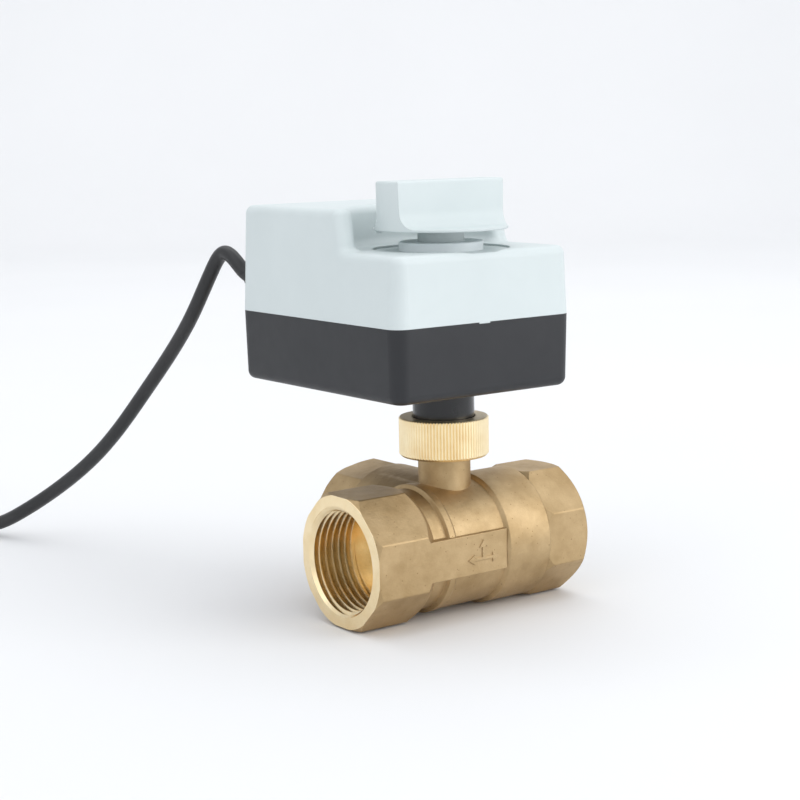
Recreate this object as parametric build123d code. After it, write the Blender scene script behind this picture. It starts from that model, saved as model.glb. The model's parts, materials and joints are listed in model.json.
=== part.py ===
from build123d import *
from math import atan2, cos, pi, radians, sin, sqrt, tan
import os

# A motorised three-way ball valve, in millimetres. Everything is drawn about the centre of the
# ball: +X runs to the second run port, +Y to the branch port and +Z up the stem. The finished
# pieces are then shifted so that the origin is the centre of the first run port's mouth.

# Ports for a one inch parallel pipe thread: plain holes at the thread's minor radius
thread_minor_radius = 15.146
mouth_chamfer = 1.3
port_bore_depth = 18.6

# Valve body
inlet_reach = 39.2
outlet_reach = 41.2
branch_reach = 44.0
flats_apothem = 19.6
branch_apothem = 18.45
branch_cap_twist = -11
cast_edge = 0.8
barrel_radius = 19.2
valley_radius = 18.3
ridge_radius = 19.6
collar_radius = 20.3
collar_start = 8.6
run_cap_seat = 25.0
branch_cap_seat = 27.6
socket_radius = 16.62
cap_hub_radius = 16.6
cap_hub_start = 12.0
seal_height = 18.6
seal_groove_width = 1.7
seal_groove_depth = 1.4
seat_pocket_gap = 0.05
inlet_bar_start = 16.8
inlet_shoulder = (17.6, 21.4)
inlet_face_radius = 19.9
outlet_face_radius = 19.2
branch_face_radius = 18.6
valley_start = -17.8
ridge_start = -13.2
ridge_end = -10.6
ridge_slope = 0.6
pad_start = -20.5
pad_end = 8.2
pad_bottom = -5.7
pad_top = 6.5
neck_radius = 7.97
head_radius = 11.3
head_bottom = 28.0
head_top = 35.0

# Ball, seats and stem
ball_radius = 15.0
ball_bore_radius = 8.0
chamber_radius = 15.6
seat_outer_radius = 10.9
seat_bore_radius = 8.2
seat_front = 11.2
seat_back = 15.0
stem_radius = 4.0
running_gap = 0.04
tang_thickness = 5.0
tang_width = 11.0
tang_bottom = 11.2
stem_flange_radius = 6.6
stem_flange_bottom = 15.3
stem_flange_top = 16.8
stem_washer_top = 18.2
stem_top = 43.5
stem_flats = 6.0
stem_ring_heights = (23.0, 30.0)

# Union nut and mounting collar
nut_radius = 13.65
nut_bottom = 27.4
nut_top = 39.3
nut_lip = 1.0
nut_ridges = 88
nut_ridge_depth = 0.35
tube_radius = 9.36
tube_bore_radius = 6.5
collar_bottom = 35.1
collar_foot_top = 38.1
collar_plate_radius = 13.4
collar_plate_thickness = 2.2
collar_screw_circle = 11.4
collar_screw_radius = 1.0

# Actuator housing
base_bottom = 47.7
seam_height = 69.6
half_width = 33.07
front_reach = 21.75
rear_reach = 62.2
wall = 2.0
corner_radius = 4.6
base_draft = 1.4
cover_draft = 2.4
cover_edge = 2.6
platform_height = 90.1
raised_height = 102.5
step_foot_y = 6.4
step_lean = 13.8
knob_well_radius = 27.0
dish_radius = 20.5
dish_depth = 0.6
lip_height = 2.6
lip_drop = 3.0
housing_post_radius = 3.6
housing_post_inset = 7.4
rear_post_y = 50.0
housing_screw_radius = 1.5
housing_screw_recess = 3.4
plate_post_radius = 3.0
plate_screw_radius = 1.2
small_screw_radius = 1.0

# Gear train: 25 degree involute teeth
gear_module = 0.8
pressure_angle = 25
backlash = 0.07
output_teeth = 44
idler_wheel_teeth = 36
pinion_teeth = 12
gear_floor = 54.0
idler_y = gear_module * (output_teeth + pinion_teeth) / 2
motor_y = idler_y + gear_module * (idler_wheel_teeth + pinion_teeth) / 2
wheel_floor = 58.6
plate_bottom = 63.0
plate_top = 64.5
axle_radius = 1.5
output_gear_thickness = 4.0
idler_wheel_thickness = 2.6
lightening_hole_radius = 2.6
lightening_hole_circle = 11.5

# Output shaft, cam and knob
shaft_foot = 37.0
shaft_radius = 6.45
shaft_mid_radius = 5.0
shaft_top_radius = 4.0
shaft_collar_bottom = 52.2
spring_collar_radius = 6.0
spring_collar_height = 1.6
cam_floor = 65.4
cam_top = 70.0
cam_low = 8.0
cam_high = 9.2
shaft_top = 103.0
bush_flange_radius = 12.64
bush_top = 92.2
bush_foot = 84.5
hub_radius = 7.0
hub_foot = 82.0
knob_bottom = 95.7
knob_top = 110.4
knob_radius = 20.15
knob_top_radius = 20.5
grip_half_thickness = 5.5
grip_scoop_radius = 5.0
knob_rim = 0.7
grip_top_edge = 0.7
knob_travel = 2.5
knob_flat_y = 3.0
spring_floor = 78.0
spring_roof = 91.0
spring_wire = 0.8
spring_radius = 5.2

# Motor, switches and board
motor_radius = 17.0
motor_top = 84.5
motor_ear_x = 20.6
motor_ear_radius = 3.2
motor_ear_height = 1.2
motor_wall = 1.0
motor_boss_radius = 4.0
switch_length = 19.8
switch_height = 10.2
switch_thickness = 6.4
switch_face_x = 12.2
switch_button_radius = 1.1
button_gap = 0.12
board_bottom = 88.0
board_thickness = 1.6
board_front = 30.4
board_rear = 55.0
terminal_screw_y = 49.5
terminal_screw_height = 6.5
terminal_places = (-13.4, -8.0, -2.6)

# Cable
cable_radius = 2.4
cable_exit = (-26.6, 62.0, 79.5)
cable_inside = 3.6
wire_radius = 0.6
stripped_length = 5.0

origin_shift = Pos(inlet_reach, 0, 0)


def cylinder(radius, bottom, top, x=0, y=0):
    """An upright cylinder between two heights."""
    return Pos(x, y, (bottom + top) / 2) * Cylinder(radius, top - bottom)


def ring(outer, inner, bottom, top, x=0, y=0):
    """An upright tube between two heights."""
    return cylinder(outer, bottom, top, x, y) - cylinder(inner, bottom - 1, top + 1, x, y)


def block(x0, x1, y0, y1, z0, z1):
    """A box given by its limits."""
    centre = Pos((x0 + x1) / 2, (y0 + y1) / 2, (z0 + z1) / 2)
    return centre * Box(x1 - x0, y1 - y0, z1 - z0)


def turned(points):
    """A solid turned about Z from (radius, height) corners."""
    return revolve(Plane.XZ * make_face(Polyline(*points, close=True)), Axis.Z)


def along_x(shape):
    """Lay an upright shape down so that its +Z becomes +X."""
    return Rot(0, 90, 0) * shape


def along_y(shape):
    """Lay an upright shape down so that its +Z becomes +Y."""
    return Rot(-90, 0, 0) * shape


def octagon_bar(apothem, bottom, top, twist=0):
    """An upright eight-sided bar with a flat facing each axis."""
    corner = apothem / cos(pi / 8)
    outline = RegularPolygon(corner, 8, rotation=22.5 + twist)
    outline = fillet(outline.vertices(), cast_edge)
    return Pos(0, 0, bottom) * extrude(outline, top - bottom)


def port_bore(mouth, depth):
    """What is cut from a port whose mouth is at height mouth: its hole and mouth chamfer."""
    radius = thread_minor_radius
    wide = radius + mouth_chamfer + 0.01
    return turned([
        (0, mouth - depth), (radius, mouth - depth), (radius, mouth - mouth_chamfer),
        (wide, mouth + 0.01), (0, mouth + 0.01),
    ])


def end_chamfer(corner, face, top, length):
    """A turned envelope that bevels the outer end of an octagon down to radius face."""
    return turned([(0, -60), (corner + 1, -60), (corner + 1, top - length - 1), (face, top), (0, top)])


def flow_mark():
    """A raised three-way arrow on the front pad, standing out of the casting."""
    stroke = 0.9
    reach = 4.2
    head = 1.5
    mark = Rectangle(2 * reach, stroke)
    mark += Pos(0, reach / 2) * Rectangle(stroke, reach)
    for angle, x, y in ((0, reach, 0), (180, -reach, 0), (90, 0, reach)):
        mark += Pos(x, y) * Rot(0, 0, angle) * Triangle(a=2 * head, b=1.8 * head, c=1.8 * head, rotation=-90)
    face = Plane(origin=(-1, -flats_apothem, -1.2), x_dir=(1, 0, 0), z_dir=(0, -1, 0))
    return extrude(face * mark, 0.35)


def valve_body():
    """Cast body: the first port, the ball chamber, two sockets for the caps and the stem neck."""
    corner = flats_apothem / cos(pi / 8)
    bar = octagon_bar(flats_apothem, inlet_bar_start, inlet_reach)
    bar &= end_chamfer(corner, inlet_face_radius, inlet_reach, 1.6)
    foot, crown = inlet_shoulder
    bar &= turned([(0, 0), (valley_radius, 0), (valley_radius, foot), (corner, crown), (corner, 60), (0, 60)])
    inlet = Rot(0, -90, 0) * bar
    barrel = turned([
        (0, valley_start), (valley_radius, valley_start), (valley_radius, ridge_start),
        (ridge_radius, ridge_start + ridge_slope), (ridge_radius, ridge_end),
        (barrel_radius, ridge_end + ridge_slope), (barrel_radius, collar_start - 0.3),
        (collar_radius - 0.6, collar_start), (collar_radius, collar_start + 0.7),
        (collar_radius, run_cap_seat), (0, run_cap_seat),
    ])
    branch = turned([(0, 0), (collar_radius, 0), (collar_radius, branch_cap_seat), (0, branch_cap_seat)])
    pad = block(pad_start, pad_end, -flats_apothem, -0.6 * flats_apothem, pad_bottom, pad_top)
    body = inlet + along_x(barrel) + along_y(branch) + pad
    body += cylinder(neck_radius, 0, head_bottom) + cylinder(head_radius, head_bottom, head_top)
    body += flow_mark()
    # The bores: port thread, flow way, ball chamber, cap sockets and the stem's stepped hole
    body -= Rot(0, -90, 0) * port_bore(inlet_reach, port_bore_depth)
    body -= along_x(cylinder(seat_bore_radius, -30, 0))
    body -= along_x(cylinder(seat_outer_radius + seat_pocket_gap, -seat_back, 0))
    body -= along_x(cylinder(chamber_radius, -12.4, 10))
    body -= along_x(cylinder(socket_radius, cap_hub_start - 0.5, run_cap_seat + 1))
    body -= along_x(cylinder(chamber_radius, 0, run_cap_seat))
    body -= along_y(cylinder(chamber_radius, 0, branch_cap_seat))
    body -= along_y(cylinder(socket_radius, cap_hub_start - 0.5, branch_cap_seat + 1))
    body -= cylinder(stem_flange_radius + 0.1, 0, stem_washer_top)
    body -= cylinder(stem_radius + running_gap, 0, head_top + 1)
    return body


def end_cap(reach, seat, apothem, face_radius, twist):
    """An upright screwed-in port end: octagon outside, threaded mouth, and a hub with an O-ring groove."""
    corner = apothem / cos(pi / 8)
    cap = octagon_bar(apothem, seat, reach, twist)
    cap &= end_chamfer(corner, face_radius, reach, 2.0)
    side = corner + 0.1
    cap &= turned([(0, seat), (collar_radius, seat), (side, seat + 2.4), (side, reach), (0, reach)])
    nose = cap_hub_start - 0.2
    hub = [(0, cap_hub_start), (nose, cap_hub_start), (cap_hub_radius, cap_hub_radius + 0.2),
           (cap_hub_radius, seat), (0, seat)]
    cap += turned(hub)
    cap -= port_bore(reach, reach - seat + 1.6)
    cap -= cylinder(seat_bore_radius, 0, reach - 5)
    cap -= cylinder(seat_outer_radius + seat_pocket_gap, 0, seat_back)
    half = seal_groove_width / 2
    groove_floor = cap_hub_radius - seal_groove_depth
    return cap - ring(cap_hub_radius + 1, groove_floor, seal_height - half, seal_height + half)


def run_end_cap():
    return along_x(end_cap(outlet_reach, run_cap_seat, flats_apothem, outlet_face_radius, 0))


def branch_end_cap():
    cap = end_cap(branch_reach, branch_cap_seat, branch_apothem, branch_face_radius, branch_cap_twist)
    return along_y(cap)


def end_cap_seals():
    """One O-ring in each cap's groove."""
    seal = Pos(0, 0, seal_height) * Torus(cap_hub_radius - 0.7, 0.68)
    return [along_x(seal), along_y(seal)]


def ball():
    """The ball with an elbow-shaped way: open to the second run port and to the branch."""
    solid = Sphere(ball_radius)
    flat = sqrt(ball_radius**2 - ball_bore_radius**2)
    solid -= along_x(cylinder(ball_bore_radius, 0, flat + 5))
    solid -= along_y(cylinder(ball_bore_radius, 0, flat + 5))
    solid -= Sphere(ball_bore_radius)
    half = tang_thickness / 2 + running_gap
    solid -= block(-ball_radius, ball_radius, -half, half, tang_bottom - 0.1, ball_radius + 1)
    return solid


def ball_seats():
    """Three rings whose inner faces are ground to the ball."""
    seat = ring(seat_outer_radius, seat_bore_radius, seat_front, seat_back)
    seat -= Sphere(ball_radius + 0.03)
    return [Rot(0, -90, 0) * seat, along_x(seat), along_y(seat)]


def stem():
    """The spindle: a tang in the ball's slot, a flange below the neck and two flats at the top."""
    spindle = cylinder(stem_radius, stem_flange_bottom, stem_top)
    spindle += cylinder(stem_flange_radius, stem_flange_bottom, stem_flange_top)
    tang = block(-tang_width / 2, tang_width / 2, -tang_thickness / 2, tang_thickness / 2,
                 tang_bottom, stem_flange_bottom + 0.1)
    spindle += tang & cylinder(stem_flange_radius, tang_bottom, stem_flange_bottom + 0.1)
    flats = block(-stem_flats / 2, stem_flats / 2, -6, 6, 0, stem_top + 1)
    spindle = (spindle & cylinder(20, 0, head_top + 1.5)) + (spindle & flats)
    for height in stem_ring_heights:
        spindle -= ring(stem_radius + 1, stem_radius - 1.2, height - 0.8, height + 0.8)
    return spindle


def stem_rings():
    """Two O-rings in the stem's grooves, a hair clear of the neck's bore."""
    return [Pos(0, 0, height) * Torus(stem_radius - 0.6, 0.6) for height in stem_ring_heights]


def stem_washer():
    """Low-friction washer between the stem's flange and the neck."""
    return ring(stem_flange_radius, stem_radius + 0.06, stem_flange_top + running_gap, stem_washer_top)


def union_nut():
    """Knurled nut that draws the actuator's collar down onto the neck's head."""
    ridge = 360 / nut_ridges
    outline = []
    for number in range(nut_ridges):
        for part, depth in ((0, 0), (0.45, 0), (0.72, nut_ridge_depth)):
            angle = radians((number + part) * ridge)
            radius = nut_radius - depth
            outline.append((radius * cos(angle), radius * sin(angle)))
    knurl = Pos(0, 0, nut_bottom) * extrude(make_face(Polyline(*outline, close=True)), nut_top - nut_bottom)
    bevel = 0.7
    envelope = turned([
        (0, nut_bottom), (nut_radius - bevel, nut_bottom), (nut_radius, nut_bottom + bevel),
        (nut_radius, nut_top - bevel / 2), (nut_radius - bevel / 2, nut_top), (0, nut_top),
    ])
    bore = cylinder(head_radius + 0.06, nut_bottom - 1, nut_top - nut_lip)
    return (knurl & envelope) - bore - cylinder(tube_radius + 0.35, nut_bottom, nut_top + 1)


def mounting_collar():
    """The tube between the valve and the actuator: a foot inside the nut and a plate inside the housing."""
    plate_top_z = base_bottom + wall + collar_plate_thickness
    tube = cylinder(tube_radius, collar_bottom, plate_top_z)
    tube += cylinder(head_radius - 0.05, collar_bottom, collar_foot_top)
    tube += cylinder(collar_plate_radius, base_bottom + wall, plate_top_z)
    tube -= cylinder(tube_bore_radius, collar_bottom - 1, plate_top_z + 1)
    for x, y in collar_screw_places():
        tube -= cylinder(collar_screw_radius, base_bottom, plate_top_z + 1, x, y)
    return tube


def collar_screw_places():
    return [polar(collar_screw_circle, angle) for angle in (30, 150, 270)]


def screw(shank_radius, pan_radius, pan_height, length, head_on_top=True):
    """A pan-head screw with a cross recess; its seat is at height 0 and its shank points down."""
    pan = cylinder(pan_radius, 0, pan_height)
    pan = fillet(pan.faces().sort_by(Axis.Z)[-1].edges(), 0.4 * pan_height)
    slot = 0.35 * pan_radius
    arm = 1.2 * pan_radius
    slot_floor = 0.35 * pan_height
    pan -= block(-arm / 2, arm / 2, -slot / 2, slot / 2, slot_floor, pan_height + 1)
    pan -= block(-slot / 2, slot / 2, -arm / 2, arm / 2, slot_floor, pan_height + 1)
    made = cylinder(shank_radius, -length, 0) + pan
    return made if head_on_top else Rot(180, 0, 0) * made


def collar_screws():
    seat = base_bottom + wall + collar_plate_thickness
    one = screw(collar_screw_radius, 1.9, 1.3, collar_plate_thickness)
    return [Pos(x, y, seat) * one for x, y in collar_screw_places()]


def housing_plan(inset):
    """The housing's outline at the seam, drawn in by inset."""
    width = 2 * (half_width - inset)
    length = front_reach + rear_reach - 2 * inset
    radius = max(corner_radius - inset, 0.8)
    return Pos(0, (rear_reach - front_reach) / 2) * RectangleRounded(width, length, radius)


def base_form(inset, bottom, top=seam_height):
    """The base's tapering block, narrower towards the bottom, between two heights."""
    plan = Pos(0, 0, seam_height) * housing_plan(inset)
    form = extrude(plan, amount=seam_height - base_bottom, dir=(0, 0, -1), taper=base_draft)
    return form & block(-90, 90, -90, 120, bottom, top)


def housing_posts(bottom, top, radius=housing_post_radius):
    return [cylinder(radius, bottom, top, x, y) for x, y in housing_post_places()]


def housing_post_places():
    x = half_width - housing_post_inset
    front = housing_post_inset - front_reach
    return [(sx * x, y) for sx in (-1, 1) for y in (front, rear_post_y)]


def plate_post_places():
    return [(sx * x, y) for sx in (-1, 1) for x, y in ((25.0, -5.0), (23.0, 30.0))]


def base_housing():
    """Lower shell of the actuator, with screw posts, the gear plate's posts and a lip for the cover."""
    shell = base_form(0, base_bottom)
    floor_edges = shell.faces().sort_by(Axis.Z)[0].edges()
    shell = fillet(floor_edges, 2.6)
    shell -= base_form(wall, base_bottom + wall)
    shell -= pry_tab(0.05)
    lip = base_form(wall - 0.3, seam_height - lip_drop) + lip_ring()
    lip -= base_form(wall + 1.2, seam_height - lip_drop - 1, seam_height) + lip_ring_bore()
    shell += lip
    for post in housing_posts(base_bottom + 1, seam_height):
        shell += post
    for x, y in plate_post_places():
        shell += cylinder(plate_post_radius, base_bottom + 1, plate_bottom, x, y)
        shell -= cylinder(plate_screw_radius, plate_bottom - 9, plate_bottom + 1, x, y)
    shell += cylinder(3.2, base_bottom + 1, gear_floor - 0.3, 0, idler_y)
    shell -= cylinder(axle_radius, base_bottom + wall, gear_floor, 0, idler_y)
    shell -= cylinder(tube_radius + 0.02, base_bottom - 1, base_bottom + wall + 1)
    for x, y in housing_post_places():
        shell -= cylinder(housing_screw_radius + 0.2, base_bottom - 1, seam_height + 1, x, y)
        shell -= cylinder(3.1, base_bottom - 1, base_bottom + housing_screw_recess, x, y)
    for x, y in collar_screw_places():
        shell -= cylinder(collar_screw_radius, base_bottom + 0.8, base_bottom + wall + 1, x, y)
    return shell


def lip_ring():
    """The part of the lip that stands above the seam, inside the cover."""
    return Pos(0, 0, seam_height) * extrude(housing_plan(wall + 0.25), lip_height)


def lip_ring_bore():
    return Pos(0, 0, seam_height - 0.01) * extrude(housing_plan(wall + 1.2), lip_height + 1)


def cover_form(inset):
    """The cover's stepped block: a low platform in front, a raised rear and the knob's round well."""
    plan = Pos(0, 0, seam_height) * housing_plan(inset)
    form = extrude(plan, amount=raised_height - seam_height - inset, taper=cover_draft)
    floor = platform_height - inset
    foot = step_foot_y + inset
    rise = raised_height - floor + 1
    head = foot + rise * tan(radians(step_lean))
    outline = Polyline((-40, floor), (foot, floor), (head, floor + rise), (-40, floor + rise), close=True)
    notch = Plane.YZ * make_face(outline)
    form -= Pos(-60, 0, 0) * extrude(notch, amount=120, dir=(1, 0, 0))
    form -= cylinder(knob_well_radius + inset, floor, raised_height + 1)
    return form


def cover():
    """Upper shell of the actuator: platform, dish and bush hole for the knob, raised rear, cable hole."""
    shell = soften_cover(cover_form(0)) + (pry_tab(0) & base_form(0, base_bottom))
    shell -= cover_form(wall)
    for x, y in housing_post_places():
        roof = platform_height if y < 0 else raised_height
        post = cylinder(housing_post_radius, seam_height, roof - 1, x, y) & cover_form(1)
        shell += post
        shell -= cylinder(housing_screw_radius, seam_height - 1, seam_height + 11, x, y)
    board_top = board_bottom + board_thickness
    for x, y in board_screw_places():
        shell += cylinder(2.4, board_top, raised_height - 1, x, y)
        shell -= cylinder(small_screw_radius, board_top - 1, board_top + 5, x, y)
    shell -= cylinder(dish_radius, platform_height - dish_depth, platform_height + 1)
    shell -= cylinder(bush_tube_radius() + 0.03, 80, platform_height + 1)
    x, y, z = cable_exit
    shell -= Pos(x, rear_reach, z) * Rot(90, 0, 0) * Cylinder(grommet_neck_radius(), 12)
    return shell


def soften_cover(form):
    """Round every edge of the cover above the seam."""
    low = seam_height + 0.5
    return fillet([edge for edge in form.edges() if edge.bounding_box().min.Z > low], cover_edge)


def pry_tab(gap):
    """A small tab at the foot of the cover's front wall, where a blade can lift it."""
    x = -1.2
    half = 2.0 + gap
    front = -front_reach
    foot = seam_height - 0.4 - gap
    return block(x - half, x + half, front - gap, front + 0.5 + gap, foot, seam_height + 0.5)


def bush_tube_radius():
    return hub_radius + 1.5


def grommet_neck_radius():
    return cable_radius + 0.9


def housing_screws():
    """Four long screws from below, through the base's posts into the cover's."""
    one = screw(housing_screw_radius, 2.9, 2.0, 28.0, head_on_top=False)
    return [Pos(x, y, base_bottom + housing_screw_recess) * one for x, y in housing_post_places()]


def involute_point(base_radius, radius, start_angle, side):
    """A point on an involute flank at the given radius."""
    roll = sqrt(max((radius / base_radius) ** 2 - 1, 0))
    angle = start_angle + side * (roll - atan2(roll, 1))
    return (radius * cos(angle), radius * sin(angle))


def gear_outline(teeth, first_tooth):
    """The outline of a spur gear; first_tooth is the direction of one tooth's middle in degrees."""
    pitch = gear_module * teeth / 2
    base = pitch * cos(radians(pressure_angle))
    tip = pitch + 0.95 * gear_module
    root = pitch - 1.2 * gear_module
    half_tooth = pi / (2 * teeth) - backlash / (2 * pitch)
    roll = tan(radians(pressure_angle)) - radians(pressure_angle)
    flank_start = max(base, root)
    radii = [flank_start + (tip - flank_start) * step / 3 for step in range(4)]
    points = []
    for number in range(teeth):
        middle = radians(first_tooth) + 2 * pi * number / teeth
        left = middle - half_tooth - roll
        right = middle + half_tooth + roll
        points.append((root * cos(left), root * sin(left)))
        if root < base:
            points.append((base * cos(left), base * sin(left)))
        points += [involute_point(base, radius, left, 1) for radius in radii[1:]]
        points += [involute_point(base, radius, right, -1) for radius in reversed(radii[1:])]
        if root < base:
            points.append((base * cos(right), base * sin(right)))
        points.append((root * cos(right), root * sin(right)))
    return make_face(Polyline(*points, close=True))


def gear(teeth, first_tooth, bottom, top):
    return Pos(0, 0, bottom) * extrude(gear_outline(teeth, first_tooth), top - bottom)


def output_gear():
    """The big gear on the output shaft; a tooth points at the idler."""
    top = gear_floor + output_gear_thickness
    wheel = gear(output_teeth, 90, gear_floor, top)
    for number in range(5):
        place = polar(lightening_hole_circle, 90 + 72 * number)
        wheel -= cylinder(lightening_hole_radius, gear_floor - 1, top + 1, *place)
    return wheel - cylinder(shaft_radius, gear_floor - 1, top + 1)


def idler_gear():
    """Wheel and pinion moulded as one: the pinion drives the output gear, the motor drives the wheel."""
    pinion = gear(pinion_teeth, 270 + 180 / pinion_teeth, gear_floor, wheel_floor + 0.5)
    wheel = gear(idler_wheel_teeth, 90, wheel_floor, wheel_floor + idler_wheel_thickness)
    hub = cylinder(3.4, wheel_floor, plate_bottom - 0.3)
    both = pinion + wheel + hub
    both -= cylinder(axle_radius + running_gap, gear_floor - 1, plate_bottom + 1)
    return Pos(0, idler_y, 0) * both


def idler_axle():
    return cylinder(axle_radius, base_bottom + wall, plate_top, 0, idler_y)


def gear_plate():
    """Steel plate over the train: it holds the axle, the motor and the two switches."""
    plate = block(-27, 27, -10.0, 57.0, plate_bottom, plate_top)
    for x, y in housing_post_places():
        plate -= cylinder(housing_post_radius + 0.6, plate_bottom - 1, plate_top + 1, x, y)
    plate -= cylinder(shaft_mid_radius + running_gap, plate_bottom - 1, plate_top + 1)
    plate -= cylinder(axle_radius, plate_bottom - 1, plate_top + 1, 0, idler_y)
    plate -= cylinder(motor_boss_radius + 2, plate_bottom - 1, plate_top + 1, 0, motor_y)
    holes = [(x, y, plate_screw_radius + 0.05) for x, y in plate_post_places()]
    holes += [(x, y, small_screw_radius) for x, y in switch_screw_places()]
    holes += [(x, y, plate_screw_radius + 0.05) for x, y in motor_screw_places()]
    for x, y, radius in holes:
        plate -= cylinder(radius, plate_bottom - 1, plate_top + 1, x, y)
    return plate


def plate_screws():
    one = screw(plate_screw_radius, 2.4, 1.6, 8.0)
    return [Pos(x, y, plate_top) * one for x, y in plate_post_places()]


def output_shaft():
    """Stepped shaft: a socket for the stem's flats, gear seat, cam seat, and a flatted top for the knob."""
    gear_top = gear_floor + output_gear_thickness
    spring_collar = spring_floor - spring_collar_height
    shaft = cylinder(shaft_radius, shaft_foot, gear_top)
    shaft += cylinder(shaft_radius + 1.2, shaft_collar_bottom, gear_floor)
    shaft += cylinder(shaft_mid_radius, gear_top, spring_collar)
    shaft += cylinder(spring_collar_radius, spring_collar, spring_floor)
    upper = cylinder(shaft_top_radius, spring_floor, shaft_top)
    shaft += upper & block(-9, 9, -9, knob_flat_y, 0, shaft_top + 1)
    socket = cylinder(stem_radius + running_gap, shaft_foot - 1, stem_top + 0.4)
    half = stem_flats / 2 + running_gap
    socket &= block(-half, half, -9, 9, 0, stem_top + 1)
    return shaft - socket


def limit_cam():
    """One disc works both switches: its radius climbs over one quarter and falls over the opposite one."""
    steps = 12
    lift = cam_high - cam_low
    shares = [step / steps for step in range(steps + 1)]
    ramp_up = [(cam_low + lift * share, 90 + 90 * share) for share in shares]
    ramp_down = [(cam_high - lift * share, 270 + 90 * share) for share in shares]
    low = [polar(cam_low, angle) for angle in (0, 45, 90)]
    high = [polar(cam_high, angle) for angle in (180, 225, 270)]
    up = Spline(*[polar(radius, angle) for radius, angle in ramp_up])
    down = Spline(*[polar(radius, angle) for radius, angle in ramp_down])
    outline = [ThreePointArc(*low), up, ThreePointArc(*high), down]
    disc = Pos(0, 0, cam_floor) * extrude(make_face(outline), cam_top - cam_floor)
    return disc - cylinder(shaft_mid_radius, cam_floor - 1, cam_top + 1)


def polar(radius, angle):
    return (radius * cos(radians(angle)), radius * sin(radians(angle)))


def cam_clip():
    """Spring clip that keeps the cam down on its seat."""
    clip = ring(6.6, shaft_mid_radius, cam_top, cam_top + 0.8)
    return clip - block(-1.6, 1.6, 0, 9, cam_top - 1, cam_top + 2)


def motor_screw_places():
    return [(-motor_ear_x, motor_y), (motor_ear_x, motor_y)]


def motor_case():
    """The motor's can with two screw ears, a bearing boss at each end, and room for coil and rotor."""
    case = cylinder(motor_radius, plate_top, motor_top)
    ear_top = plate_top + motor_ear_height
    ear = motor_ear_radius
    case += block(-motor_ear_x, motor_ear_x, -ear, ear, plate_top, ear_top)
    for x in (-motor_ear_x, motor_ear_x):
        case += cylinder(ear, plate_top, ear_top, x)
        case -= cylinder(plate_screw_radius + 0.05, plate_top - 1, ear_top + 1, x)
    case -= cylinder(motor_radius - motor_wall, ear_top, motor_top - motor_wall)
    case += cylinder(motor_boss_radius, plate_bottom + 0.2, plate_top + 2.4)
    case += cylinder(motor_boss_radius, motor_top - 2.6, motor_top - 0.5)
    case -= cylinder(axle_radius + running_gap, plate_bottom - 1, motor_top - motor_wall)
    return Pos(0, motor_y, 0) * case


def motor_coil():
    """Winding on its bobbin, fixed inside the can."""
    coil = ring(motor_radius - motor_wall, 10.2, plate_top + 2.6, motor_top - 2.8)
    return Pos(0, motor_y, 0) * coil


def motor_rotor():
    """Ring magnet pressed on the motor's shaft."""
    return Pos(0, motor_y, 0) * ring(9.6, axle_radius, plate_top + 2.8, motor_top - 3.0)


def motor_shaft():
    return cylinder(axle_radius, wheel_floor - 0.2, motor_top - 1.4, 0, motor_y)


def motor_pinion():
    pinion = gear(pinion_teeth, 270 + 180 / pinion_teeth, wheel_floor, plate_bottom - 0.4)
    return Pos(0, motor_y, 0) * (pinion - cylinder(axle_radius, wheel_floor - 1, plate_bottom))


def motor_screws():
    one = screw(plate_screw_radius, 2.2, 1.5, 2.7)
    return [Pos(x, y, plate_top + motor_ear_height) * one for x, y in motor_screw_places()]


def switch_middle():
    return plate_top + switch_thickness / 2


def switch_screw_places():
    return [(sx * (switch_face_x + 7.2), sy * 6.5) for sx in (-1, 1) for sy in (-1, 1)]


def limit_switches():
    """Two snap-action switches lying on the plate, one each side of the cam."""
    cases = []
    for side in (-1, 1):
        x0, x1 = sorted((side * switch_face_x, side * (switch_face_x + switch_height)))
        case = block(x0, x1, -switch_length / 2, switch_length / 2, plate_top, plate_top + switch_thickness)
        case = chamfer(case.edges().filter_by(Axis.Z), 0.5)
        guide = Cylinder(switch_button_radius + running_gap, 9.0)
        case -= Pos(side * switch_face_x, 0, switch_middle()) * Rot(0, 90, 0) * guide
        for x, y in switch_screw_places():
            if x * side > 0:
                case -= cylinder(1.05, plate_top - 1, plate_top + switch_thickness + 1, x, y)
        cases.append(case)
    return cases


def switch_button(tip_x, side):
    """A button with a domed tip facing the cam."""
    length = 5.6
    dome = switch_button_radius
    peg = turned([(0, 0), (dome, 0), (dome, length - 0.7), (0.5 * dome, length), (0, length)])
    return Pos(tip_x + side * length, 0, switch_middle()) * Rot(0, -90 * side, 0) * peg


def left_switch_button():
    return switch_button(-(cam_high + button_gap), -1)


def right_switch_button():
    return switch_button(cam_low + button_gap, 1)


def switch_terminals():
    """Three tin-plated blades on the outer face of each switch."""
    blades = []
    back = switch_face_x + switch_height
    for side in (-1, 1):
        x0, x1 = sorted((side * back, side * (back + 3.4)))
        for y in (-6.0, 0.0, 6.0):
            blades.append(block(x0, x1, y - 1.3, y + 1.3, switch_middle() + 0.6, switch_middle() + 1.1))
    return blades


def switch_screws():
    one = screw(small_screw_radius, 1.8, 1.2, switch_thickness + 2.2)
    return [Pos(x, y, plate_top + switch_thickness) * one for x, y in switch_screw_places()]


def board_screw_places():
    return [(sx * 24.0, y) for sx in (-1, 1) for y in (34.0, 42.0)]


def circuit_board():
    board = block(-27, 27, board_front, board_rear, board_bottom, board_bottom + board_thickness)
    for x, y in housing_post_places():
        board -= cylinder(housing_post_radius + 0.8, board_bottom - 1, board_bottom + 3, x, y)
    for x, y in board_screw_places():
        board -= cylinder(1.1, board_bottom - 1, board_bottom + 3, x, y)
    return board


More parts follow.
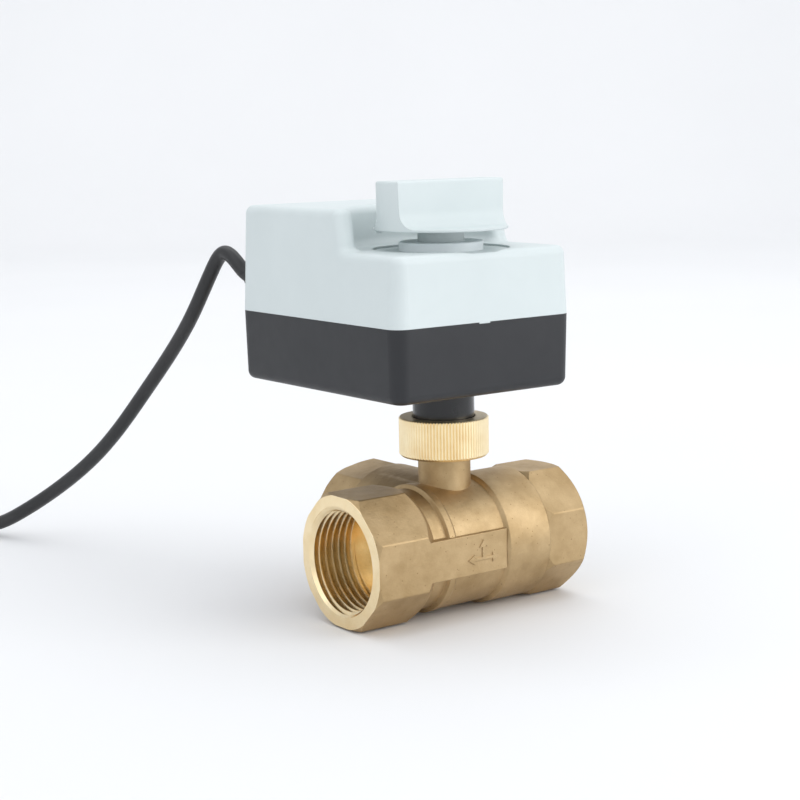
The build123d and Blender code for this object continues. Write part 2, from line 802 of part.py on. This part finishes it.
def board_screws():
    one = screw(small_screw_radius, 1.9, 1.2, 6.0, head_on_top=False)
    return [Pos(x, y, board_bottom) * one for x, y in board_screw_places()]


def board_part(x0, x1, y0, y1, height, edge):
    top = board_bottom + board_thickness
    body = block(x0, x1, y0, y1, top, top + height)
    return fillet(body.edges().filter_by(Axis.Z), edge)


def relay():
    return board_part(4, 19, 31.5, 46.5, 9.4, 0.6)


def terminal_block():
    """Screw clamps for the cable's conductors, with a wire entry at the rear of each."""
    clamp = board_part(-16, 0, 46.5, 54.5, 9.0, 0.4)
    top = board_bottom + board_thickness
    for x in terminal_places:
        clamp -= cylinder(1.7, top + terminal_screw_height, top + 10, x, terminal_screw_y)
        clamp -= Pos(x, 54.5, top + 3) * Rot(90, 0, 0) * Cylinder(1.1, 4)
    return clamp


def terminal_screws():
    top = board_bottom + board_thickness + terminal_screw_height
    y = terminal_screw_y
    screws = []
    for x in terminal_places:
        head = cylinder(1.6, top, top + 1.6, x, y)
        screws.append(head - block(x - 2, x + 2, y - 0.3, y + 0.3, top + 0.9, top + 2))
    return screws


def capacitor():
    """The motor's run capacitor, a rounded block beside the relay."""
    return board_part(-20, -4, 32.5, 40.5, 8.0, 2.0)


def cover_bush():
    """Flanged bush in the cover's hole that guides the knob's hub."""
    bush = cylinder(bush_flange_radius, platform_height - dish_depth, bush_top)
    bush = fillet(bush.faces().sort_by(Axis.Z)[-1].edges(), 0.5)
    bush += cylinder(bush_tube_radius(), bush_foot, bush_top - 1)
    return bush - cylinder(hub_radius + running_gap, bush_foot - 1, bush_top + 1)


def knob():
    """Round knob with a scooped grip bar along X, and a hub that slides on the shaft's flat."""
    disc = turned([
        (0, knob_bottom), (knob_radius - 0.3, knob_bottom), (knob_radius, knob_bottom + 0.3),
        (knob_top_radius, knob_top), (0, knob_top),
    ])
    rim = knob_bottom + knob_rim
    start = rim + grip_scoop_radius
    near = -grip_half_thickness
    far = near - grip_scoop_radius
    bend = grip_scoop_radius * cos(pi / 4)
    scoop_edge = [
        Line((near + 0.15, knob_top + 1), (near, start)),
        ThreePointArc((near, start), (far + bend, start - bend), (far, rim)),
        Line((far, rim), (-30, rim - 0.2)),
        Line((-30, rim - 0.2), (-30, knob_top + 1)),
        Line((-30, knob_top + 1), (near + 0.15, knob_top + 1)),
    ]
    scoop = Pos(-30, 0, 0) * extrude(Plane.YZ * make_face(scoop_edge), amount=60, dir=(1, 0, 0))
    grip = disc - scoop - Rot(0, 0, 180) * scoop
    grip = fillet(grip.faces().sort_by(Axis.Z)[-1].edges(), grip_top_edge)
    grip += cylinder(hub_radius, hub_foot, knob_bottom + 0.5)
    pip = polar(18.6, 150)
    grip += cylinder(0.8, knob_bottom - 0.8, knob_bottom + 0.4, *pip)
    gap = running_gap
    bore_top = shaft_top + knob_travel + 0.5
    bore = cylinder(shaft_top_radius + gap, hub_foot - 1, bore_top)
    grip -= bore & block(-9, 9, -9, knob_flat_y + gap, 0, bore_top + 1)
    grip -= cylinder(spring_radius + spring_wire / 2 + 0.25, hub_foot - 1, spring_roof)
    return grip - ring(hub_radius + 1, hub_radius - 0.35, bush_foot - 1.0, bush_foot - 0.15)


def knob_clip():
    """Spring ring in the hub's groove, under the bush, that keeps the knob from lifting off."""
    clip = ring(hub_radius + 1.3, hub_radius - 0.35, bush_foot - 1.0, bush_foot - 0.15)
    return clip - block(-2, 2, 0, 12, bush_foot - 2, bush_foot + 1)


def knob_spring():
    """Compression spring between the shaft's shoulder and the roof of the knob's pocket."""
    half = spring_wire / 2
    bottom = spring_floor + half + 0.02
    top = spring_roof - half - 0.02
    path = Helix(pitch=(top - bottom) / 5, height=top - bottom, radius=spring_radius)
    start = path @ 0
    wire = sweep(Plane(origin=start, z_dir=path % 0) * Circle(half), path=path, is_frenet=True)
    return Pos(0, 0, bottom) * wire


def cable_path():
    """The cable leaves the rear of the cover, loops over and falls to the floor behind the valve."""
    x, y, z = cable_exit
    rest = cable_radius - collar_radius + 0.1
    inner = (x, y - cable_inside, z)
    outside = (x, y + 1.6, z)
    run = [
        outside, (x - 1.4, 70.5, 83.2), (x - 2.3, 77.0, 86.6), (x - 3.4, 83.6, 80.8), (x - 5.4, 95.0, 64.6),
        (x - 11.0, 120.0, 36.6), (x - 20.4, 145.0, 10.2), (x - 36.0, 173.0, -11.2), (x - 61.9, 222.0, rest),
    ]
    return Wire((Line(inner, outside) + Spline(*run, tangents=((0, 1, 0), (-0.5, 1, 0)))).edges())


def cable_jacket():
    path = cable_path()
    return sweep(Plane(origin=path @ 0, z_dir=path % 0) * Circle(cable_radius), path=path)


def cable_grommet():
    """Rubber grommet in the rear wall of the cover."""
    x, y, z = cable_exit
    outer = wall_y_at(z)
    body = cylinder(grommet_neck_radius() - 0.02, outer - wall - 2.2, outer + 1.4)
    body += cylinder(grommet_neck_radius() + 0.7, outer + 0.3, outer + 1.4)
    body += cylinder(grommet_neck_radius() + 0.5, outer - wall - 2.2, outer - wall - 1.1)
    body -= cylinder(cable_radius + 0.02, outer - 9, outer + 9)
    return Pos(x, 0, z) * along_y(body)


def wall_y_at(height):
    """Where the cover's drafted rear wall stands at a height."""
    return rear_reach - (height - seam_height) * tan(radians(cover_draft))


def wire(points, start_way, end_way):
    """A round conductor through the points, leaving and arriving in the given directions."""
    path = Spline(*points, tangents=(start_way, end_way))
    return sweep(Plane(origin=path @ 0, z_dir=path % 0) * Circle(wire_radius), path=path)


def cable_wires():
    """Insulated conductors: from the cable's inner end to the clamps, and bare of jacket at the far end."""
    x, y, z = cable_exit
    inner = y - cable_inside
    back = (0, -1, 0)
    wires = []
    entry = board_bottom + board_thickness + 3
    for number, clamp_x in enumerate(terminal_places):
        dx, dz = polar(1.1, 90 + 120 * number)
        wires.append(wire([
            (x + dx, inner, z + dz), (x + 1.6 + dx, 56.6, z + 3.6 + dz),
            (clamp_x - 3.0, 56.7, entry - 1.4), (clamp_x, 54.6, entry), (clamp_x, 52.8, entry),
        ], back, back))
    return wires + [tail(number)[0] for number in range(3)]


def tail(number):
    """A conductor fanning out of the jacket's far end, with its bare copper tip."""
    path = cable_path()
    end = path @ 1
    along = path % 1
    across = Vector(along.Y, -along.X, 0)
    side = number - 1
    start = end + across * 1.3 * side
    finish = end + along * 17 + across * 4.2 * side
    way = (along + across * 0.35 * side).normalized()
    if side == 0:
        insulation = extrude(Plane(origin=start, z_dir=along) * Circle(wire_radius), 17)
    else:
        insulation = wire([start, finish], along, way)
    copper = extrude(Plane(origin=finish, z_dir=way) * Circle(0.7 * wire_radius), stripped_length)
    return insulation, copper


def bare_ends():
    """Stripped copper at the tip of each far conductor."""
    return [tail(number)[1] for number in range(3)]


pieces = [
    valve_body, run_end_cap, branch_end_cap, end_cap_seals, ball, ball_seats, stem, stem_rings,
    stem_washer, union_nut, mounting_collar, collar_screws, base_housing, cover, housing_screws,
    output_shaft, output_gear, idler_gear, idler_axle, gear_plate, plate_screws, limit_cam, cam_clip,
    motor_case, motor_coil, motor_rotor, motor_shaft, motor_pinion, motor_screws, limit_switches,
    left_switch_button, right_switch_button, switch_terminals, switch_screws, circuit_board,
    board_screws, relay, terminal_block, terminal_screws, capacitor, cover_bush, knob, knob_clip,
    knob_spring, cable_jacket, cable_grommet, cable_wires, bare_ends,
]

os.makedirs("parts", exist_ok=True)
for piece in pieces:
    made = piece()
    solids = made if isinstance(made, list) else [made]
    placed = [origin_shift * solid for group in solids for solid in group.solids()]
    export_step(Compound(children=placed), f"parts/{piece.__name__}.step")
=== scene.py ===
import json
import math

import bpy
import bmesh
from mathutils import Matrix, Vector


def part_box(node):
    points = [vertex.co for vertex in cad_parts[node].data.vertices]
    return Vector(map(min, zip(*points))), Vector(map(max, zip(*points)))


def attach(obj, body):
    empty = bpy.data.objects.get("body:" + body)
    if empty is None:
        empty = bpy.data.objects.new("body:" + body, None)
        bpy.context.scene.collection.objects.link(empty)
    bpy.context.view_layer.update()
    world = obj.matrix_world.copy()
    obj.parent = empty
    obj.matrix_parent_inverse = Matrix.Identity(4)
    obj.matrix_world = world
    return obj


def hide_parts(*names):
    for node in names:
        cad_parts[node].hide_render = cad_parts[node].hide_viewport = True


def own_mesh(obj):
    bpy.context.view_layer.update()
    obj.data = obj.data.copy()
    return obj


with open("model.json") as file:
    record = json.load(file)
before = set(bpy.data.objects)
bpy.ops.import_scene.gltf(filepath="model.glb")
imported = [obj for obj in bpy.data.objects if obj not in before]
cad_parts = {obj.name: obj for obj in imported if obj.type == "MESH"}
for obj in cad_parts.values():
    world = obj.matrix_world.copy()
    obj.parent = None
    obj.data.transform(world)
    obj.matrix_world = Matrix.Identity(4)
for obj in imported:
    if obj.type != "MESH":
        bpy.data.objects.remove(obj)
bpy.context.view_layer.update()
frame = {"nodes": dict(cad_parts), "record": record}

mm = 0.001
nut_low, nut_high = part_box("union_nut")
stem_x = (nut_low[0] + nut_high[0]) / 2
inlet_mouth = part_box("valve_body")[0][0]
outlet_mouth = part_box("run_end_cap")[1][0]
branch_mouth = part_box("branch_end_cap")[1][1]


# ---------- Node helpers ----------

class Shader:
    """A node material built up from short calls."""

    def __init__(self, name):
        self.material = bpy.data.materials.new(name)
        self.material.use_nodes = True
        self.nodes = self.material.node_tree.nodes
        self.links = self.material.node_tree.links
        self.surface = self.nodes["Principled BSDF"]
        self.coords = self.nodes.new("ShaderNodeTexCoord").outputs["Object"]

    def put(self, socket, value):
        if isinstance(value, bpy.types.NodeSocket):
            self.links.new(value, socket)
        else:
            socket.default_value = value

    def set(self, **inputs):
        for name, value in inputs.items():
            self.put(self.surface.inputs[name.replace("_", " ")], value)

    def noise(self, size, detail=3.0):
        """Noise whose features are about size metres across."""
        node = self.nodes.new("ShaderNodeTexNoise")
        node.inputs["Scale"].default_value = 1 / size
        node.inputs["Detail"].default_value = detail
        node.inputs["Roughness"].default_value = 0.55
        self.links.new(self.coords, node.inputs["Vector"])
        return node.outputs["Fac"]

    def cells(self, size):
        """Distance to the nearest of scattered points about size metres apart."""
        node = self.nodes.new("ShaderNodeTexVoronoi")
        node.inputs["Scale"].default_value = 1 / size
        self.links.new(self.coords, node.inputs["Vector"])
        return node.outputs["Distance"]

    def ramp(self, value, low, high):
        """Map value so that low gives black and high gives white."""
        node = self.nodes.new("ShaderNodeValToRGB")
        first, last = node.color_ramp.elements
        first.position, last.position = low, high
        first.color = (0, 0, 0, 1)
        last.color = (1, 1, 1, 1)
        self.links.new(value, node.inputs["Fac"])
        return node.outputs["Color"]

    def mix(self, factor, first, second):
        node = self.nodes.new("ShaderNodeMix")
        node.data_type = "RGBA"
        self.put(node.inputs["Factor"], factor)
        for index, value in ((6, first), (7, second)):
            if not isinstance(value, bpy.types.NodeSocket):
                value = (*value, 1)
            self.put(node.inputs[index], value)
        return node.outputs[2]

    def maths(self, kind, first, second=0.0):
        node = self.nodes.new("ShaderNodeMath")
        node.operation = kind
        self.put(node.inputs[0], first)
        self.put(node.inputs[1], second)
        return node.outputs[0]

    def between(self, value, low, high):
        """Rescale a 0 to 1 value to the range low to high."""
        node = self.nodes.new("ShaderNodeMapRange")
        self.put(node.inputs["Value"], value)
        node.inputs["To Min"].default_value = low
        node.inputs["To Max"].default_value = high
        return node.outputs["Result"]

    def bump(self, height, depth, strength=1.0, normal=None):
        node = self.nodes.new("ShaderNodeBump")
        node.inputs["Distance"].default_value = depth
        node.inputs["Strength"].default_value = strength
        self.links.new(height, node.inputs["Height"])
        if normal is not None:
            self.links.new(normal, node.inputs["Normal"])
        return node.outputs["Normal"]

    def place(self):
        """The point's own X, Y and Z in the CAD frame."""
        node = self.nodes.new("ShaderNodeSeparateXYZ")
        self.links.new(self.coords, node.inputs["Vector"])
        return node.outputs

    def reach(self, first, second):
        """Distance from an axis, from the two coordinates across it."""
        first_squared = self.maths("MULTIPLY", first, first)
        second_squared = self.maths("MULTIPLY", second, second)
        return self.maths("SQRT", self.maths("ADD", first_squared, second_squared))

    def soft_edges(self, radius):
        node = self.nodes.new("ShaderNodeBevel")
        node.samples = 4
        node.inputs["Radius"].default_value = radius
        return node.outputs["Normal"]


# ---------- Materials ----------

def machined_share(s):
    """1 where the casting was cut: inside the ports and on their three end faces."""
    x, y, z = s.place()
    bore = 16.9 * mm
    skin = 0.12 * mm
    from_stem = s.maths("SUBTRACT", x, stem_x)
    run_bore = s.maths("LESS_THAN", s.reach(y, z), bore)
    branch_side = s.maths("GREATER_THAN", y, bore)
    branch_bore = s.maths("MULTIPLY", branch_side, s.maths("LESS_THAN", s.reach(from_stem, z), bore))
    inlet_face = s.maths("LESS_THAN", x, inlet_mouth + skin)
    outlet_face = s.maths("GREATER_THAN", x, outlet_mouth - skin)
    branch_face = s.maths("GREATER_THAN", y, branch_mouth - skin)
    bores = s.maths("MAXIMUM", run_bore, branch_bore)
    run_faces = s.maths("MAXIMUM", inlet_face, outlet_face)
    return s.maths("MAXIMUM", bores, s.maths("MAXIMUM", run_faces, branch_face))


def cast_brass():
    """Blasted casting: pale and matt with darker specks, bright gold where it was machined."""
    s = Shader("cast_brass")
    cut = machined_share(s)
    mottle = s.noise(11 * mm, detail=4)
    grain = s.noise(0.5 * mm, detail=3)
    specks = s.ramp(s.cells(1.9 * mm), 0.04, 0.12)
    tone = s.mix(s.ramp(mottle, 0.34, 0.68), (0.44, 0.309, 0.158), (0.61, 0.451, 0.257))
    tone = s.mix(s.between(grain, 0.0, 0.3), tone, (0.36, 0.240, 0.110))
    tone = s.mix(specks, (0.27, 0.17, 0.07), tone)
    bright = s.mix(s.ramp(s.noise(5 * mm), 0.3, 0.7), (0.88, 0.69, 0.40), (0.96, 0.79, 0.51))
    tone = s.mix(cut, tone, bright)
    blasted = s.between(s.noise(2.5 * mm, detail=3), 0.40, 0.60)
    turned = s.between(s.noise(1.4 * mm, detail=3), 0.18, 0.30)
    rough = s.mix(cut, blasted, turned)
    crisp = s.nodes.new("ShaderNodeNewGeometry").outputs["Normal"]
    rounded = s.mix(cut, s.soft_edges(0.4 * mm), crisp)
    depth = s.maths("MULTIPLY", grain, s.maths("SUBTRACT", 1.0, cut))
    normal = s.bump(depth, 0.05 * mm, 0.9, rounded)
    swell = s.maths("MULTIPLY", s.noise(3.4 * mm, detail=2), s.maths("SUBTRACT", 1.0, cut))
    normal = s.bump(swell, 0.14 * mm, 0.9, normal)
    s.set(Base_Color=tone, Metallic=1.0, Roughness=rough, Normal=normal)
    return s.material


def turned_brass():
    """Machined brass of the union nut: bright, with faint grain."""
    s = Shader("turned_brass")
    grain = s.noise(1.2 * mm, detail=3)
    tone = s.mix(s.ramp(s.noise(6 * mm), 0.3, 0.7), (0.93, 0.74, 0.44), (1.0, 0.85, 0.56))
    rough = s.between(grain, 0.26, 0.40)
    normal = s.bump(grain, 0.02 * mm, 0.5, s.soft_edges(0.12 * mm))
    s.set(Base_Color=tone, Metallic=1.0, Roughness=rough, Normal=normal)
    return s.material


def moulded_plastic(name, dark, light, roughness, grain):
    """Moulded plastic or rubber: cloudy tone, fine surface grain and softened edges."""
    s = Shader(name)
    size, depth = grain
    tone = s.mix(s.ramp(s.noise(22 * mm, detail=3), 0.3, 0.7), dark, light)
    rough = s.between(s.noise(4 * mm, detail=4), *roughness)
    normal = s.bump(s.noise(size * mm, detail=2), depth * mm, 0.7, s.soft_edges(0.25 * mm))
    s.set(Base_Color=tone, Roughness=rough, Normal=normal)
    return s.material


def plain_metal(name, dark, light, roughness):
    """Plated or drawn metal with slight stains and fine drawing marks."""
    s = Shader(name)
    tone = s.mix(s.ramp(s.noise(5 * mm, detail=4), 0.3, 0.7), dark, light)
    rough = s.between(s.noise(1.0 * mm, detail=3), *roughness)
    normal = s.bump(s.noise(0.4 * mm, detail=2), 0.01 * mm, 0.6)
    s.set(Base_Color=tone, Metallic=1.0, Roughness=rough, Normal=normal)
    return s.material


# Each moulded look: two tones, the roughness range, and the size and depth of its surface grain in mm
moulded = {
    "ptfe": ((0.78, 0.78, 0.75), (0.86, 0.86, 0.84), (0.3, 0.45), (0.5, 0.01)),
    "seal_rubber": ((0.012, 0.012, 0.012), (0.03, 0.03, 0.03), (0.5, 0.7), (0.4, 0.02)),
    "black_plastic": ((0.010, 0.011, 0.014), (0.016, 0.017, 0.020), (0.38, 0.50), (0.35, 0.03)),
    "black_gloss": ((0.008, 0.008, 0.009), (0.016, 0.016, 0.017), (0.14, 0.24), (0.6, 0.008)),
    "grey_plastic": ((0.625, 0.685, 0.685), (0.655, 0.715, 0.715), (0.36, 0.48), (0.45, 0.02)),
    "dial_grey": ((0.76, 0.81, 0.82), (0.82, 0.87, 0.88), (0.30, 0.42), (0.4, 0.01)),
    "gear_plastic": ((0.72, 0.70, 0.62), (0.80, 0.78, 0.70), (0.3, 0.45), (0.5, 0.01)),
    "green_board": ((0.02, 0.12, 0.05), (0.03, 0.18, 0.08), (0.25, 0.4), (0.8, 0.01)),
    "blue_plastic": ((0.03, 0.10, 0.32), (0.05, 0.15, 0.42), (0.25, 0.4), (0.5, 0.01)),
    "magnet": ((0.03, 0.03, 0.032), (0.06, 0.06, 0.06), (0.5, 0.7), (0.3, 0.02)),
    "cable_black": ((0.010, 0.010, 0.011), (0.022, 0.022, 0.023), (0.28, 0.42), (0.5, 0.015)),
    "wire_colours": ((0.16, 0.07, 0.03), (0.24, 0.11, 0.05), (0.3, 0.4), (0.5, 0.01)),
}

# Each plain metal look: two tones and the roughness range
metals = {
    "steel": ((0.48, 0.49, 0.50), (0.66, 0.66, 0.67), (0.25, 0.42)),
    "chromed_ball": ((0.72, 0.72, 0.74), (0.82, 0.82, 0.84), (0.06, 0.14)),
    "copper": ((0.60, 0.28, 0.15), (0.78, 0.42, 0.26), (0.25, 0.4)),
}

looks = {"brass_casting": cast_brass(), "machined_brass": turned_brass()}
for slot_name, recipe in metals.items():
    looks[slot_name] = plain_metal(slot_name, *recipe)
for slot_name, recipe in moulded.items():
    looks[slot_name] = moulded_plastic(slot_name, *recipe)


def dress_cad_nodes():
    """Give each carried-over CAD node the look of its material slot."""
    for part in frame["record"]["subparts"]:
        node = frame["nodes"][part["node"]]
        node.data.materials.clear()
        node.data.materials.append(looks[part["material_slot"]])


dress_cad_nodes()


# ---------- Pipe threads ----------

thread_minor_radius = 15.146 * mm
thread_pitch = 2.309 * mm
thread_depth = 1.479 * mm
thread_flat = 0.385 * mm
thread_length = 15.8 * mm


def thread_cutter(name, mouth, outward, across):
    """A hidden right-handed helical ridge in the shape of the groove, from past the mouth inwards."""
    outward, across = Vector(outward), Vector(across)
    third = outward.cross(across)
    steps = 64
    run_out_start = 0.12
    run_out_turn = 0.35
    overlap = 0.06 * mm
    slope = (thread_pitch / 2 - thread_flat) / thread_depth
    half_root = thread_flat / 2
    start = -thread_length
    turns = (thread_length + 2 * thread_pitch) / thread_pitch
    rings = int(turns * steps)
    bm = bmesh.new()
    previous = None
    for step in range(rings + 1):
        angle = 2 * math.pi * step / steps
        along = start + thread_pitch * step / steps
        share = run_out_start + (1 - run_out_start) * step / (run_out_turn * steps)
        depth = thread_depth * min(1.0, share)
        ring = []
        for radial, side in ((-overlap, -1), (depth, -1), (depth, 1), (-overlap, 1)):
            half = half_root + slope * (depth - radial)
            radius = thread_minor_radius + radial
            spoke = across * math.cos(angle) + third * math.sin(angle)
            ring.append(bm.verts.new(Vector(mouth) + outward * (along + side * half) + spoke * radius))
        if previous is None:
            bm.faces.new(ring)
        else:
            for index in range(4):
                after = (index + 1) % 4
                bm.faces.new((previous[index], previous[after], ring[after], ring[index]))
        previous = ring
    bm.faces.new(list(reversed(previous)))
    bmesh.ops.recalc_face_normals(bm, faces=bm.faces)
    mesh = bpy.data.meshes.new(name)
    bm.to_mesh(mesh)
    bm.free()
    mesh.materials.append(looks["brass_casting"])
    cutter = bpy.data.objects.new(name, mesh)
    bpy.context.collection.objects.link(cutter)
    cutter.hide_render = True
    cutter.hide_viewport = True
    return cutter


def cut_thread(node_name, mouth, outward, across):
    """Weld the CAD node's surface shut and cut the helical groove out of its port."""
    node = frame["nodes"][node_name]
    weld = node.modifiers.new("weld", "WELD")
    weld.merge_threshold = 0.0005 * mm
    cut = node.modifiers.new("thread", "BOOLEAN")
    cut.operation = "DIFFERENCE"
    cut.solver = "EXACT"
    cut.object = thread_cutter(node_name + "_thread", mouth, outward, across)
    split = node.modifiers.new("crease", "EDGE_SPLIT")
    split.split_angle = math.radians(28)
    split.use_edge_sharp = False


cut_thread("valve_body", (inlet_mouth, 0, 0), (-1, 0, 0), (0, 1, 0))
cut_thread("run_end_cap", (outlet_mouth, 0, 0), (1, 0, 0), (0, 1, 0))
cut_thread("branch_end_cap", (stem_x, branch_mouth, 0), (0, 1, 0), (0, 0, 1))


# ---------- Knob spring ----------

def make_return_spring():
    """The spring under the knob, as a copy of its CAD mesh carried by the output body."""
    spring = bpy.data.objects.new("return_spring", frame["nodes"]["knob_spring"].data.copy())
    bpy.context.collection.objects.link(spring)
    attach(spring, "output")
    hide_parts("knob_spring")
    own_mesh(spring)


make_return_spring()


# ---------- Floor, light and camera ----------

def make_floor():
    s = Shader("paper_white")
    tone = s.mix(s.ramp(s.noise(0.4), 0.3, 0.7), (0.815, 0.815, 0.82), (0.835, 0.835, 0.84))
    s.set(Base_Color=tone, Roughness=0.75, Normal=s.bump(s.noise(2 * mm), 0.02 * mm, 0.3))
    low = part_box("valve_body")[0][2]
    size = 4.0
    mesh = bpy.data.meshes.new("floor")
    steps = 24
    radius = 0.6
    back = 1.6
    profile = [(-size, low), (back, low)]
    for step in range(1, steps + 1):
        angle = math.pi / 2 * step / steps
        profile.append((back + radius * math.sin(angle), low + radius * (1 - math.cos(angle))))
    profile.append((back + radius, low + size))
    view = camera_frame()[2]
    away = Vector((-view.x, -view.y, 0)).normalized()
    side = Vector((-away.y, away.x, 0))
    points = []
    for along, height in profile:
        for across in (-size, size):
            spot = away * along + side * across
            points.append((spot.x, spot.y, height))
    faces = [(2 * i, 2 * i + 1, 2 * i + 3, 2 * i + 2) for i in range(len(profile) - 1)]
    mesh.from_pydata(points, [], faces)
    mesh.materials.append(s.material)
    for face in mesh.polygons:
        face.use_smooth = True
    floor = bpy.data.objects.new("floor", mesh)
    bpy.context.collection.objects.link(floor)


def camera_frame():
    """Camera axes: it looks down a little onto the near run port, turned about the stem."""
    azimuth = math.radians(-36.39)
    pitch = math.radians(8.93)
    roll = math.radians(-1.06)
    level = Vector((math.sin(azimuth), -math.cos(azimuth), 0))
    back = level * math.cos(pitch) + Vector((0, 0, math.sin(pitch)))
    right = Vector((math.cos(azimuth), math.sin(azimuth), 0))
    up = back.cross(right)
    turned_right = right * math.cos(roll) + up * math.sin(roll)
    turned_up = up * math.cos(roll) - right * math.sin(roll)
    return turned_right, turned_up, back


def make_camera():
    """The lens and distance that give the photograph's framing at 800 by 800."""
    right, up, back = camera_frame()
    stem = Vector((stem_x, 0, 0))
    distance = 0.5359
    sensor = 36.0
    focal_pixels = 1748.2
    frame_pixels = 800
    aim_right, aim_up = 45.4, -141.9
    data = bpy.data.cameras.new("camera")
    data.sensor_width = sensor
    data.lens = sensor * focal_pixels / frame_pixels
    data.clip_start = 0.01
    offset = right * (aim_right / focal_pixels) + up * (aim_up / focal_pixels)
    place = stem + (back - offset) * distance
    camera = bpy.data.objects.new("camera", data)
    turn = Matrix((right, up, back)).transposed().to_4x4()
    camera.matrix_world = Matrix.Translation(place) @ turn
    bpy.context.collection.objects.link(camera)
    bpy.context.scene.camera = camera


def area_light(name, place, target, size, power, colour=(1, 1, 1)):
    data = bpy.data.lights.new(name, "AREA")
    data.shape = "RECTANGLE"
    data.size, data.size_y = size
    data.energy = power
    data.color = colour
    light = bpy.data.objects.new(name, data)
    light.location = place
    light.rotation_euler = (Vector(target) - Vector(place)).to_track_quat("-Z", "Y").to_euler()
    bpy.context.collection.objects.link(light)


def make_lights():
    centre = Vector((0.04, 0.02, 0.04))
    area_light("top", (0.1, 0.1, 1.3), centre, (2.2, 2.2), 6.3)
    area_light("left", (-1.1, -0.2, 0.7), centre, (0.9, 1.2), 1.5)
    area_light("right", (0.7, -1.0, 0.6), centre, (0.9, 1.2), 6.0)
    away = -camera_frame()[2]
    wall = Vector((away.x, away.y, 0)).normalized() * 2.0
    area_light("backdrop", wall * 0.45 + Vector((0, 0, 1.9)), wall + Vector((0, 0, 0.5)), (2.4, 0.8), 9)
    world = bpy.data.worlds.new("studio")
    world.use_nodes = True
    background = world.node_tree.nodes["Background"]
    background.inputs["Color"].default_value = (0.93, 0.96, 1.0, 1)
    background.inputs["Strength"].default_value = 0.86
    bpy.context.scene.world = world


make_floor()
make_camera()
make_lights()
bpy.context.scene.view_settings.view_transform = "Standard"
